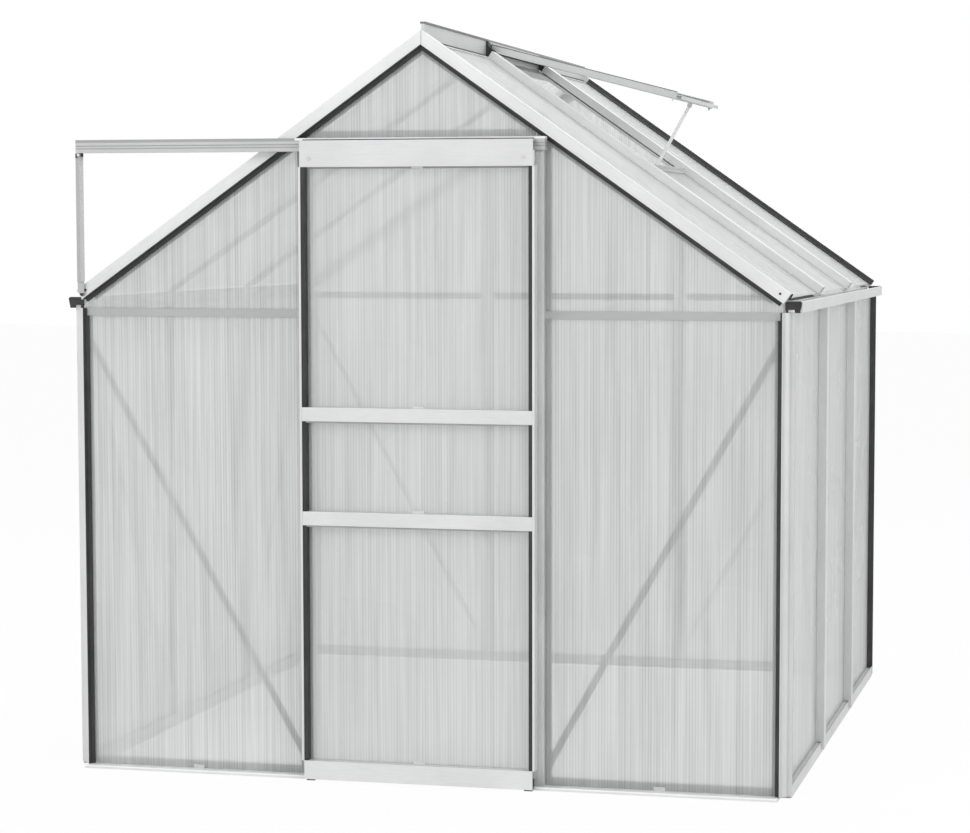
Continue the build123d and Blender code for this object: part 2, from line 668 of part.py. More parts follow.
# Door track, its stops and the strut at its left end
track_back = -DEPTH / 2
track_front = track_back - TRACK_DEPTH
track_top = TRACK_LOW + TRACK_HEIGHT
track_floor = TRACK_LOW + WALL
track_left = -FIN_X - TRACK_PAST
track_right = DOOR_HALF + TRACK_SPARE
slot_back = track_front + WALL + HANGER_THICK + HANGER_GAP + TRACK_SLOT_SPARE
track_section = strips(
    (slot_back, TRACK_LOW, track_back, track_floor),
    (track_front, TRACK_LOW, track_front + WALL, track_top),
    (track_back - WALL, TRACK_LOW, track_back, track_top),
    (track_front, track_top - WALL, track_back, track_top),
)
groove_back = track_front + WALL / 2
for groove_up in TRACK_GROOVES:
    groove_low = TRACK_LOW + groove_up
    track_section -= strips((track_front, groove_low, groove_back, groove_low + TRACK_GROOVE_WIDTH))
track = run(track_section, Plane.YZ, track_left, track_right)
end_plate = strips((track_front, TRACK_LOW, track_back, track_top))
track += run(end_plate, Plane.YZ, track_right - WALL, track_right)
node("door_track", track)
stop_section = strips((slot_back, track_floor, track_back - WALL, track_floor + STOP_HEIGHT))
left_stop = run(stop_section, Plane.YZ, track_left, track_left + STOP_LENGTH)
stop_right = track_right - WALL
right_stop = run(stop_section, Plane.YZ, stop_right - STOP_LENGTH, stop_right)
node("track_stops", left_stop, right_stop)

strut_x = -FIN_X - STRUT_OUT
strut_left = strut_x - STRUT_WIDTH / 2
strut_right = strut_x + STRUT_WIDTH / 2
strut_back = -GABLE - FASCIA
web_front = -DEPTH / 2
strut_corner = strut_x + STRUT_CORNER
strut_section = outline(
    (strut_left, web_front),
    (strut_corner, web_front - STRUT_DEPTH),
    (strut_right, web_front),
    (strut_right - STRUT_WALL, web_front),
    (strut_corner, web_front - STRUT_DEPTH + STRUT_WALL),
    (strut_left + STRUT_WALL, web_front),
)
strut = run(strut_section, Plane.XY, EAVE + STRUT_START_UP, TRACK_LOW)
tab_left = strut_left + STRUT_TAB_SIDE
tab_low = EAVE + STRUT_TAB_UP
tab_high = tab_low + STRUT_TAB_HEIGHT
pad_high = tab_low + STRUT_PAD_HEIGHT
strut += block((tab_left, web_front - WALL, tab_low), (tab_left + STRUT_TAB_WIDTH, web_front, tab_high))
strut += block((tab_left, web_front, tab_low), (tab_left + STRUT_PAD_WIDTH, strut_back, pad_high))
node("track_strut", strut)

# Door, in its closed place
door_face = -DEPTH / 2 - DOOR_STANDOFF
door_back = door_face + DOOR_DEPTH
door_sheet = door_face + DOOR_SHEET
door_sheet_back = door_sheet + SHEET
rail_top = RAIL_LOW + RAIL_HEIGHT
flange_x = DOOR_HALF - SEAT - WALL
stile_section = strips(
    (DOOR_HALF - WALL, door_face, DOOR_HALF, door_back),
    (DOOR_HALF - DOOR_LIP, door_face, DOOR_HALF, door_face + WALL),
    (flange_x, door_sheet_back, DOOR_HALF, door_back),
)
stile = run(stile_section, Plane.XY, rail_top, BOARD_LOW)
node("door_stiles", stile, across(stile))

seal_in = DOOR_HALF - DOOR_LIP - DOOR_SEAL
door_seal_section = strips((seal_in, door_face + WALL, DOOR_HALF - WALL, door_sheet))
door_seal = run(door_seal_section, Plane.XY, rail_top, BOARD_LOW)
node("door_seals", door_seal, across(door_seal))


def door_rail(centre):
    low = centre - MIDDLE_RAIL_HEIGHT / 2
    high = centre + MIDDLE_RAIL_HEIGHT / 2
    front = door_sheet - MIDDLE_RAIL_PROUD
    outer = strips(
        (front, low, front + WALL, high),
        (front, low, door_sheet, low + WALL),
        (front, high - WALL, door_sheet, high),
    )
    inner = strips(
        (front, centre - WALL / 2, door_back, centre + WALL / 2),
        (door_sheet_back, low, door_back, high),
    )
    rail = run(outer, Plane.YZ, -seal_in, seal_in)
    return rail + run(inner, Plane.YZ, -flange_x, flange_x)


node("door_middle_rails", *[door_rail(centre) for centre in MIDDLE_RAILS])

bottom_section = strips(
    (door_face, RAIL_LOW, door_face + WALL, rail_top),
    (door_face, rail_top - WALL, door_back, rail_top),
    (door_back - WALL, rail_top - RAIL_DROP, door_back, rail_top),
    (door_face, RAIL_LOW, door_face + RAIL_FOOT, RAIL_LOW + WALL),
)
rail_half = DOOR_HALF - DOOR_LIP
node("door_rail_bottom", run(bottom_section, Plane.YZ, -rail_half, rail_half))

board_section = strips(
    (door_face, BOARD_LOW, door_face + WALL, BOARD_TOP),
    (door_face, BOARD_LOW, door_back, BOARD_LOW + WALL),
    (door_face, BOARD_TOP - WALL, door_face + BOARD_FLANGE, BOARD_TOP),
)
board = run(board_section, Plane.YZ, -rail_half - BOARD_PAST, rail_half + BOARD_PAST)
bolt_place = Pos(HANGER_X, door_face + WALL, BOLT_Z) * Rot(90, 0, 0)
bolt_hole = bolt_place * Cylinder(SCREW_RADIUS + FIT_GAP, 6 * WALL)
board -= bolt_hole
board -= across(bolt_hole)
node("door_top_board", board)

pane_ends = (
    (rail_top, MIDDLE_RAILS[0] - WALL / 2),
    (MIDDLE_RAILS[0] + WALL / 2, MIDDLE_RAILS[1] - WALL / 2),
    (MIDDLE_RAILS[1] + WALL / 2, BOARD_LOW),
)
pane_half = DOOR_HALF - WALL - EDGE_GAP
door_panes = []
for low, high in pane_ends:
    door_panes.append(block((-pane_half, door_sheet, low), (pane_half, door_sheet_back, high)))
node("door_panes", *door_panes)

guide_top = rail_top - RAIL_DROP
guide_low = LIP_HEIGHT + WALL
guide_front = door_face + RAIL_FOOT + EDGE_GAP
guide_back = door_back + GUIDE_PAST
guide_section = strips(
    (guide_front, guide_low, guide_back, guide_top),
    (guide_front, GUIDE_FLOOR, -lip_y - GUIDE_GAP, guide_top),
    (-lip_y + WALL + GUIDE_GAP, WALL + GUIDE_LIFT, guide_back, guide_top),
)
guide = run(guide_section, Plane.YZ, GUIDE_X - GUIDE_WIDTH / 2, GUIDE_X + GUIDE_WIDTH / 2)
node("door_guides", guide, across(guide))

# Hangers, axles and rollers inside the track
roller_z = track_floor + ROLLER_GAP + ROLLER_RADIUS
hanger_leg = track_front + WALL + HANGER_GAP
arm_high = TRACK_LOW - 2 * HANGER_GAP
arm_low = arm_high - HANGER_THICK
hanger_section = strips(
    (door_face + WALL, BOLT_Z - HANGER_TAIL, door_face + WALL + HANGER_THICK, arm_high),
    (door_face + WALL, arm_low, hanger_leg + HANGER_THICK, arm_high),
    (hanger_leg, arm_low, hanger_leg + HANGER_THICK, roller_z + AXLE_RADIUS + HANGER_THICK),
)
hanger = run(hanger_section, Plane.YZ, HANGER_X - HANGER_WIDTH / 2, HANGER_X + HANGER_WIDTH / 2)
hanger -= bolt_hole
axle_place = Pos(HANGER_X, hanger_leg, roller_z) * Rot(-90, 0, 0)
upward = (Align.CENTER, Align.CENTER, Align.MIN)
hanger -= axle_place * Cylinder(AXLE_RADIUS + FIT_GAP, HANGER_THICK, align=upward)
node("door_hangers", hanger, across(hanger))

roller_start = HANGER_THICK + HANGER_GAP
roller_end = roller_start + ROLLER_WIDTH
axle_end = roller_end + EDGE_GAP
axle = axle_place * Cylinder(AXLE_RADIUS, axle_end, align=upward)
axle += axle_place * Pos(0, 0, axle_end) * Cylinder(AXLE_RADIUS + AXLE_HEAD, AXLE_HEAD, align=upward)
node("roller_axles", axle, across(axle))
roller = axle_place * Pos(0, 0, roller_start) * Cylinder(ROLLER_RADIUS, ROLLER_WIDTH, align=upward)
roller -= axle_place * Cylinder(AXLE_RADIUS + RUNNING, 3 * ROLLER_WIDTH, align=upward)
node("door_roller_right", roller)
node("door_roller_left", across(roller))

bolt_start = Pos(HANGER_X, door_face, BOLT_Z) * Rot(-90, 0, 0)
bolt = bolt_start * Cylinder(SCREW_RADIUS, BOLT_LENGTH, align=upward)
bolt += bolt_start * Pos(0, 0, -WALL) * Cylinder(2 * SCREW_RADIUS, WALL, align=upward)
node("door_bolts", bolt, across(bolt))

# Roof vent, drawn in its own frame: along from the hinge, and out of the sheet
tilt = SLOPE - math.radians(VENT_OPEN)
vent_along = (math.cos(tilt), 0, -math.sin(tilt))
vent_cross = Plane(origin=(HINGE_X, 0, HINGE_Z), x_dir=vent_along, z_dir=(0, -1, 0))
vent_length = Plane(origin=(HINGE_X, 0, HINGE_Z), x_dir=(0, 1, 0), z_dir=vent_along)
sheet_top = -VENT_SHEET_DOWN
sheet_under = sheet_top - SHEET
rail_in = VENT_HALF - VENT_RAIL
rail_end = VENT_START + VENT_RAIL
bottom_start = VENT_LENGTH - VENT_RAIL

side_rail_section = strips(
    (rail_in, -WALL, VENT_HALF, 0),
    (rail_in, sheet_top, VENT_HALF, sheet_top + WALL),
    (rail_in, sheet_under - WALL, VENT_HALF, sheet_under),
)
side_rail = run(side_rail_section, vent_length, rail_end, bottom_start)
wall_low_start = VENT_WALL_START + VENT_WALL_BACK
side_wall_section = outline(
    (VENT_WALL_START, 0),
    (VENT_LENGTH - VENT_CORNER / 2, 0),
    (VENT_LENGTH, -VENT_CORNER / 2),
    (VENT_LENGTH, VENT_CORNER - VENT_DEEP),
    (VENT_LENGTH - VENT_CORNER, -VENT_DEEP),
    (wall_low_start, -VENT_DEEP),
)
vent_inner = VENT_HALF - WALL
side_rail += behind(run(side_wall_section, vent_cross, vent_inner, VENT_HALF))
node("vent_side_rails", side_rail, behind(side_rail))

hinge_rail_section = strips(
    (0, -HINGE_BEAD / 2, rail_end, HINGE_BEAD / 2 - WALL / 2),
    (VENT_START, -VENT_DEEP, VENT_START + WALL, 0),
    (VENT_START, sheet_top, rail_end, sheet_top + WALL),
    (VENT_START, sheet_under - WALL, rail_end, sheet_under),
)
hinge_rail_section += Circle(HINGE_BEAD)
node("vent_hinge_rail", run(hinge_rail_section, vent_cross, -vent_inner, vent_inner))

nose_low = -VENT_DEEP + VENT_NOSE_UP
bottom_rail_section = strips(
    (VENT_LENGTH - WALL, -VENT_DEEP, VENT_LENGTH, sheet_top + WALL),
    (bottom_start, sheet_top, VENT_LENGTH, sheet_top + WALL),
    (bottom_start, sheet_under - WALL, VENT_LENGTH, sheet_under),
    (bottom_start, -VENT_DEEP, VENT_LENGTH, WALL - VENT_DEEP),
)
nose_section = strips(
    (VENT_LENGTH - WALL, sheet_top, VENT_LENGTH + VENT_NOSE, sheet_top + WALL),
    (VENT_LENGTH + VENT_NOSE - WALL, nose_low, VENT_LENGTH + VENT_NOSE, sheet_top + WALL),
)
bottom_rail = run(bottom_rail_section + nose_section, vent_cross, -vent_inner, vent_inner)
tab_end = bottom_start + VENT_TAB_WIDTH
tab_section = outline(
    (bottom_start, WALL - VENT_DEEP),
    (tab_end, WALL - VENT_DEEP),
    (bottom_start + VENT_TAB_WIDTH / 2, -VENT_DEEP - VENT_TAB_DROP),
)
tab = run(tab_section, vent_cross, vent_inner - WALL, vent_inner)
bottom_rail += tab
bottom_rail += behind(tab)
ear_radius = STAY_PIN + EAR_WALL
ear_section = Pos(PIVOT_ALONG, -PIVOT_DOWN) * Circle(ear_radius)
ear_section += strips((PIVOT_ALONG - ear_radius, -PIVOT_DOWN, PIVOT_ALONG + ear_radius, WALL - VENT_DEEP))
ear_section -= Pos(PIVOT_ALONG, -PIVOT_DOWN) * Circle(STAY_PIN + FIT_GAP)
ear_in = STAY_THICK / 2 + EAR_GAP
ear = run(ear_section, vent_cross, ear_in, ear_in + EAR_THICK)
bottom_rail += ear
bottom_rail += behind(ear)
node("vent_bottom_rail", bottom_rail)

vent_pane_half = VENT_HALF - WALL - EDGE_GAP
vent_pane_section = strips((-vent_pane_half, sheet_under, vent_pane_half, sheet_top))
pane_first = VENT_START + WALL + EDGE_GAP
pane_last = VENT_LENGTH - WALL - EDGE_GAP
node("vent_pane", run(vent_pane_section, vent_length, pane_first, pane_last))
pin_half = ear_in + EAR_THICK + PIN_PAST
pin_section = Pos(PIVOT_ALONG, -PIVOT_DOWN) * Circle(STAY_PIN)
node("stay_pin", run(pin_section, vent_cross, -pin_half, pin_half))

# Vent sill and peg. The peg lies on the circle that the stay's pivot makes about the hinge.
pivot_radius = math.hypot(PIVOT_ALONG, PIVOT_DOWN)
pivot_angle = math.atan2(PIVOT_DOWN, PIVOT_ALONG)
closed_step = 2 * math.asin(STAY_CLOSED / 2 / pivot_radius)
peg_angle = SLOPE + pivot_angle + closed_step
peg_x = HINGE_X + pivot_radius * math.cos(peg_angle)
peg_z = HINGE_Z - pivot_radius * math.sin(peg_angle)
peg_down = peg_x * COS + (APEX - peg_z) * SIN
peg_out = peg_x * SIN - (APEX - peg_z) * COS
slope_cross = Plane(origin=(0, 0, APEX), x_dir=(COS, 0, -SIN), z_dir=(0, -1, 0))
sill_low = peg_out - STAY_PIN - PEG_EAR_WALL
sill_section = strips(
    (VENT_SILL_AT, sill_low, VENT_SILL_AT + WALL, VENT_SILL_HIGH),
    (VENT_SILL_AT, 0, VENT_SILL_AT + VENT_SILL_WIDTH, WALL),
    (VENT_SILL_AT, -SHEET - WALL, VENT_SILL_AT + VENT_SILL_WIDTH, -SHEET),
)
sill_half = BAR_OFFSET - half_bar
vent_sill = run(sill_section, slope_cross, -sill_half, sill_half)
peg_ear_wall = STAY_PIN + PEG_EAR_WALL
peg_ear_section = strips((peg_down - peg_ear_wall, sill_low, VENT_SILL_AT + WALL, peg_out + peg_ear_wall))
peg_ear_section -= Pos(peg_down, peg_out) * Circle(STAY_PIN + FIT_GAP)
peg_ear_in = STAY_THICK / 2 + PEG_EAR_GAP
peg_ear = run(peg_ear_section, slope_cross, peg_ear_in, peg_ear_in + EAR_THICK)
vent_sill += behind(peg_ear)
node("vent_sill", vent_sill)
peg_end = peg_ear_in + EAR_THICK + PIN_PAST
peg_tip = STAY_THICK / 2 - STAY_WEB - PEG_SLACK
node("stay_peg", run(Pos(peg_down, peg_out) * Circle(STAY_PIN), slope_cross, -peg_end, peg_tip))

# Stay, drawn from the pivot towards the peg
rest_angle = tilt + pivot_angle
pivot_x = HINGE_X + pivot_radius * math.cos(rest_angle)
pivot_z = HINGE_Z - pivot_radius * math.sin(rest_angle)
reach = math.dist((pivot_x, pivot_z), (peg_x, peg_z))
stay_along = ((peg_x - pivot_x) / reach, 0, (peg_z - pivot_z) / reach)
stay_plane = Plane(origin=(pivot_x, 0, pivot_z), x_dir=stay_along, z_dir=(0, 1, 0))
slot_start = STAY_CLOSED - STAY_PIN - 2
slot_end = STAY_LENGTH - STAY_WIDTH
stay_section = Pos(STAY_LENGTH / 2 - STAY_WIDTH / 2, 0) * SlotOverall(STAY_LENGTH, STAY_WIDTH)
stay_section -= Circle(STAY_PIN + RUNNING)
slot_width = 2 * (STAY_PIN + PEG_SLACK)
stay = run(stay_section, stay_plane, -STAY_THICK / 2, STAY_THICK / 2)
slot_section = Pos((slot_start + slot_end) / 2, 0) * SlotOverall(slot_end - slot_start, slot_width)
stay -= run(slot_section, stay_plane, STAY_WEB - STAY_THICK / 2, STAY_THICK / 2)
node("vent_stay", stay)

for name, solids in nodes.items():
    shape = solids[0] if len(solids) == 1 else Compound(solids)
    export_step(shape, os.path.join("parts", name + ".step"))
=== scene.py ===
"""Looks of the greenhouse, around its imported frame. Lengths are in metres."""
import math

import bmesh
import bpy
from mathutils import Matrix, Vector


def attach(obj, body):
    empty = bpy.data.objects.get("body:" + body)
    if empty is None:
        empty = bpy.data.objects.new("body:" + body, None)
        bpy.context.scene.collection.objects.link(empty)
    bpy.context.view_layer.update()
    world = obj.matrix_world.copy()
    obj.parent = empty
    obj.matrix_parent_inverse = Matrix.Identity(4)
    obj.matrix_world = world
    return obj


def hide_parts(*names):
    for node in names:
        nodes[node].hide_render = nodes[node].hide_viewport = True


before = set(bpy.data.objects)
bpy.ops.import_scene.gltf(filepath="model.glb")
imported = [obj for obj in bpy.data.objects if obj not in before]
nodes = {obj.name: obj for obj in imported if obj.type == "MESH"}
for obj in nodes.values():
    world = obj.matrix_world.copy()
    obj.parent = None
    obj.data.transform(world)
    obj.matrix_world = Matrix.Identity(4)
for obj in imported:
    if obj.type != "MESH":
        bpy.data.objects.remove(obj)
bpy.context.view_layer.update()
scene = bpy.context.scene
scene.view_settings.view_transform = "Standard"

# Sizes and places of the CAD part that the looks follow
SLOPE = math.radians(35.0)
VENT_TILT = math.radians(14.6)
EAVE = 1.264
SIDE_PANE = 0.948
REAR_PANE = 0.958
APEX = EAVE + SIDE_PANE * math.tan(SLOPE)
HINGE_X = 0.008
HINGE_Z = APEX + 0.0322
RIDGE_TOP = APEX + 0.0432
RIDGE_BEAD = 0.005
VENT_HALF = 0.300
BAR_EDGE = 0.346
ROOF_PANE_END = 0.930
WALL_PANE_END = 0.914
DOOR_POST_EDGE = 0.304
RIB_PITCH = 0.00763
MIDDLE_RAILS = (0.6921, 0.9631)
MIDDLE_RAIL_HALF = 0.018
SIDES = (("left", -1), ("right", 1))


# Camera at the photograph's place, looking down and to the left
CAMERA_AT = (1.85372, -7.45236, 1.43508)
CAMERA_DOWN = 4.54
CAMERA_LEFT = 13.31
camera_data = bpy.data.cameras.new("camera")
camera = bpy.data.objects.new("camera", camera_data)
scene.collection.objects.link(camera)
camera.location = CAMERA_AT
camera.rotation_euler = (math.radians(90 - CAMERA_DOWN), 0, math.radians(CAMERA_LEFT))
camera_data.sensor_width = 36
camera_data.lens = 96.92
camera_data.shift_x = -0.0595
camera_data.shift_y = 0.0230
scene.camera = camera


# Shader nodes
def add(tree, kind, **settings):
    made = tree.nodes.new(kind)
    for key, value in settings.items():
        setattr(made, key, value)
    return made


def join(tree, source, target):
    tree.links.new(source, target)


def arithmetic(tree, operation, first, second):
    made = add(tree, "ShaderNodeMath", operation=operation)
    join(tree, first, made.inputs[0])
    join(tree, second, made.inputs[1])
    return made.outputs[0]


def product(tree, shares):
    total = shares[0]
    for share in shares[1:]:
        total = arithmetic(tree, "MULTIPLY", total, share)
    return total


def mixed(tree, first, second, target):
    """Mix two shaders into a target, and return the node's share of the second."""
    made = add(tree, "ShaderNodeMixShader")
    join(tree, first, made.inputs[1])
    join(tree, second, made.inputs[2])
    join(tree, made.outputs[0], target)
    return made.inputs["Fac"]


def background_rays(tree):
    """One for the rays that show the background: camera, glossy and transmission rays."""
    path = add(tree, "ShaderNodeLightPath")
    share = path.outputs["Is Camera Ray"]
    for kind in ("Is Glossy Ray", "Is Transmission Ray"):
        share = arithmetic(tree, "MAXIMUM", share, path.outputs[kind])
    return share


def stretched(tree, scale, turn=(0, 0, 0)):
    """Object coordinates, turned and then stretched, for grain along an extrusion."""
    place = add(tree, "ShaderNodeTexCoord")
    turned = add(tree, "ShaderNodeMapping")
    turned.inputs["Rotation"].default_value = turn
    scaled = add(tree, "ShaderNodeMapping")
    scaled.inputs["Scale"].default_value = scale
    join(tree, place.outputs["Object"], turned.inputs["Vector"])
    join(tree, turned.outputs["Vector"], scaled.inputs["Vector"])
    return scaled.outputs["Vector"]


def coordinate(tree, axis):
    """One object coordinate."""
    place = add(tree, "ShaderNodeTexCoord")
    split = add(tree, "ShaderNodeSeparateXYZ")
    join(tree, place.outputs["Object"], split.inputs["Vector"])
    return split.outputs[axis]


def ramp(tree, source, low, high, first=0.0, last=1.0):
    """A colour from low to high while the source goes from first to last."""
    made = add(tree, "ShaderNodeValToRGB")
    made.color_ramp.elements[0].position = first
    made.color_ramp.elements[0].color = (*low, 1)
    made.color_ramp.elements[1].position = last
    made.color_ramp.elements[1].color = (*high, 1)
    join(tree, source, made.inputs["Fac"])
    return made.outputs["Color"]


def remap(tree, source, low, high, first=0.0, last=1.0):
    """A value from low to high while the source goes from first to last."""
    made = add(tree, "ShaderNodeMapRange")
    made.inputs["From Min"].default_value = first
    made.inputs["From Max"].default_value = last
    made.inputs["To Min"].default_value = low
    made.inputs["To Max"].default_value = high
    join(tree, source, made.inputs["Value"])
    return made.outputs["Result"]


def noise(tree, vector, scale, detail):
    made = add(tree, "ShaderNodeTexNoise")
    made.inputs["Scale"].default_value = scale
    made.inputs["Detail"].default_value = detail
    join(tree, vector, made.inputs["Vector"])
    return made.outputs["Fac"]


def bump(tree, height, strength, distance):
    made = add(tree, "ShaderNodeBump")
    made.inputs["Strength"].default_value = strength
    made.inputs["Distance"].default_value = distance
    join(tree, height, made.inputs["Height"])
    return made.outputs["Normal"]


# Soft studio: a white world and three large lamps
WHITE = (1, 1, 1, 1)
AMBIENT = 0.56
world = bpy.data.worlds.new("studio")
scene.world = world
world.use_nodes = True
tree = world.node_tree
tree.nodes.clear()
output = add(tree, "ShaderNodeOutputWorld")
skies = []
for strength in (AMBIENT, 1.0):
    sky = add(tree, "ShaderNodeBackground")
    sky.inputs["Color"].default_value = WHITE
    sky.inputs["Strength"].default_value = strength
    skies.append(sky.outputs[0])
join(tree, background_rays(tree), mixed(tree, *skies, output.inputs["Surface"]))


def lamp(name, place, target, size, power):
    data = bpy.data.lights.new(name, "AREA")
    data.shape = "RECTANGLE"
    data.size = size[0]
    data.size_y = size[1]
    data.energy = power
    obj = bpy.data.objects.new(name, data)
    scene.collection.objects.link(obj)
    obj.location = place
    obj.rotation_euler = (Vector(target) - Vector(place)).to_track_quat("-Z", "Y").to_euler()


lamp("key", (-3.2, -5.5, 4.6), (0, -0.4, 0.9), (3.5, 3.0), 101)
lamp("fill", (5.0, -3.5, 3.0), (0, 0, 0.9), (3.0, 3.0), 70)
lamp("top", (0.5, 0.8, 5.2), (0, 0, 1.0), (4.0, 4.0), 117)


# Materials
EVEN = (1, 1, 1)
NOISE_RANGE = (0.3, 0.7)
ALONG = 1.5
ACROSS = 60
GRAINS = {
    "x": ((ALONG, ACROSS, ACROSS), (0, 0, 0)),
    "y": ((ACROSS, ALONG, ACROSS), (0, 0, 0)),
    "z": ((ACROSS, ACROSS, ALONG), (0, 0, 0)),
    "right_slope": ((ALONG, ACROSS, ACROSS), (0, -SLOPE, 0)),
    "left_slope": ((ALONG, ACROSS, ACROSS), (0, SLOPE, 0)),
    "vent_slope": ((ALONG, ACROSS, ACROSS), (0, -VENT_TILT, 0)),
}
ALUMINIUM_LOW = (0.667, 0.670, 0.673)
ALUMINIUM_HIGH = (0.817, 0.819, 0.822)
ALUMINIUM_ROUGH = (0.38, 0.56)
ALUMINIUM_METALLIC = 0.45
SHEET_LOW = (0.60, 0.615, 0.61)
SHEET_HIGH = (0.95, 0.965, 0.96)
SHEET_MEAN = 0.80
SHEET_ROUGH = (0.22, 0.34)
SHEET_IOR = 1.5
SHEET_THROUGH = 0.3
RIB_EDGES = (0.08, 0.22)
RIB_DARKENING = -0.6
# Sockets of the colour mix node
MIX_SHARE = 0
MIX_FIRST = 6
MIX_SECOND = 7
MIX_RESULT = 2


def material(name):
    made = bpy.data.materials.new(name)
    made.use_nodes = True
    return made, made.node_tree, made.node_tree.nodes["Principled BSDF"]


def surface(tree):
    return tree.nodes["Material Output"].inputs["Surface"]


def grey(value):
    return (value, value, value)


def shaded(tree, colour, shades):
    """The colour times a factor within each shade's bands, which are given by position. Where a shade paints
    light or shade, its comment says so.
    """
    for bands, factor in shades:
        shares = [remap(tree, coordinate(tree, axis), 0.0, 1.0, first, last) for axis, first, last in bands]
        made = add(tree, "ShaderNodeMix", data_type="RGBA", blend_type="MULTIPLY")
        join(tree, product(tree, shares), made.inputs[MIX_SHARE])
        join(tree, colour, made.inputs[MIX_FIRST])
        made.inputs[MIX_SECOND].default_value = (*factor, 1)
        colour = made.outputs[MIX_RESULT]
    return colour


def aluminium(name, grain, bright=1.0, shades=()):
    """Mill-finish aluminium with drawing lines along the extrusion. Brightness and shades make the colour
    lighter or darker by part and in bands given by position; the tables say where this is painted light and
    shade.
    """
    made, tree, shader = material("aluminium_" + name)
    lines = noise(tree, stretched(tree, *GRAINS[grain]), 18.0, 4.0)
    clouds = noise(tree, stretched(tree, EVEN), 5.0, 3.0)
    tone = arithmetic(tree, "ADD", remap(tree, lines, 0.0, 0.5), remap(tree, clouds, 0.0, 0.5))
    low = [bright * part for part in ALUMINIUM_LOW]
    high = [bright * part for part in ALUMINIUM_HIGH]
    colour = shaded(tree, ramp(tree, tone, low, high, *NOISE_RANGE), shades)
    join(tree, colour, shader.inputs["Base Color"])
    join(tree, remap(tree, lines, *ALUMINIUM_ROUGH, *NOISE_RANGE), shader.inputs["Roughness"])
    join(tree, bump(tree, lines, 0.25, 0.0004), shader.inputs["Normal"])
    shader.inputs["Metallic"].default_value = ALUMINIUM_METALLIC
    return made


def pane(name, ribs, bright, alpha, shades=(), contrast=1.0):
    """Twin-wall sheet: two clear walls, with the ribs between them showing as fine stripes."""
    made, tree, shader = material("twin_wall_" + name)
    count = add(tree, "ShaderNodeMath", operation="DIVIDE")
    join(tree, coordinate(tree, ribs), count.inputs[0])
    count.inputs[1].default_value = RIB_PITCH
    part = add(tree, "ShaderNodeMath", operation="FRACT")
    join(tree, count.outputs[0], part.inputs[0])
    peak = add(tree, "ShaderNodeMath", operation="PINGPONG")
    join(tree, part.outputs[0], peak.inputs[0])
    peak.inputs[1].default_value = 0.5
    across = [0.02, 0.02, 0.02]
    across["XYZ".index(ribs)] = 1.0
    uneven = remap(tree, noise(tree, stretched(tree, across), 34.0, 2.0), 0.25, 1.0, 0.35, 0.65)
    rib = product(tree, [remap(tree, peak.outputs[0], 1.0, 0.0, *RIB_EDGES), uneven])
    flutes = remap(tree, noise(tree, stretched(tree, across), 95.0, 1.0), 0.42, 0.88, *NOISE_RANGE)
    clouds = noise(tree, stretched(tree, EVEN), 3.0, 2.0)
    tone = add(tree, "ShaderNodeMath", operation="MULTIPLY_ADD")
    join(tree, rib, tone.inputs[0])
    tone.inputs[1].default_value = RIB_DARKENING
    join(tree, arithmetic(tree, "ADD", flutes, remap(tree, clouds, 0.05, 0.25)), tone.inputs[2])
    low, high = ([bright * (SHEET_MEAN + contrast * (value - SHEET_MEAN)) for value in end]
                 for end in (SHEET_LOW, SHEET_HIGH))
    colour = shaded(tree, ramp(tree, tone.outputs[0], low, high), shades)
    join(tree, colour, shader.inputs["Base Color"])
    join(tree, bump(tree, rib, 0.2, 0.0006), shader.inputs["Normal"])
    join(tree, remap(tree, clouds, *SHEET_ROUGH), shader.inputs["Roughness"])
    shader.inputs["Alpha"].default_value = alpha
    shader.inputs["IOR"].default_value = SHEET_IOR
    through = add(tree, "ShaderNodeBsdfTranslucent")
    join(tree, colour, through.inputs["Color"])
    share = mixed(tree, shader.outputs[0], through.outputs[0], surface(tree))
    share.default_value = SHEET_THROUGH
    return made


def rubber(name, low, high):
    """Rubber with fine speckle and some dust."""
    made, tree, shader = material(name)
    place = stretched(tree, EVEN)
    speckle = noise(tree, place, 900.0, 2.0)
    dust = noise(tree, place, 14.0, 4.0)
    join(tree, ramp(tree, dust, grey(low), grey(high), 0.3, 0.75), shader.inputs["Base Color"])
    join(tree, remap(tree, dust, 0.5, 0.72), shader.inputs["Roughness"])
    join(tree, bump(tree, speckle, 0.3, 0.0003), shader.inputs["Normal"])
    return made


def moulded_plastic():
    """Black moulded plastic with a fine grain."""
    made, tree, shader = material("black_moulded_plastic")
    place = stretched(tree, EVEN)
    grain = noise(tree, place, 1400.0, 2.0)
    patches = noise(tree, place, 25.0, 3.0)
    colour = ramp(tree, patches, (0.014, 0.014, 0.015), (0.032, 0.032, 0.034), 0.35, 0.7)
    join(tree, colour, shader.inputs["Base Color"])
    join(tree, remap(tree, patches, 0.38, 0.52), shader.inputs["Roughness"])
    join(tree, bump(tree, grain, 0.35, 0.0002), shader.inputs["Normal"])
    return made


def plated_steel():
    """Zinc-plated steel with a fine spangle."""
    made, tree, shader = material("plated_steel")
    spangle = noise(tree, stretched(tree, EVEN), 320.0, 3.0)
    colour = ramp(tree, spangle, (0.50, 0.50, 0.49), (0.72, 0.72, 0.70), *NOISE_RANGE)
    join(tree, colour, shader.inputs["Base Color"])
    join(tree, remap(tree, spangle, 0.25, 0.42), shader.inputs["Roughness"])
    join(tree, bump(tree, spangle, 0.12, 0.0002), shader.inputs["Normal"])
    shader.inputs["Metallic"].default_value = 1.0
    return made
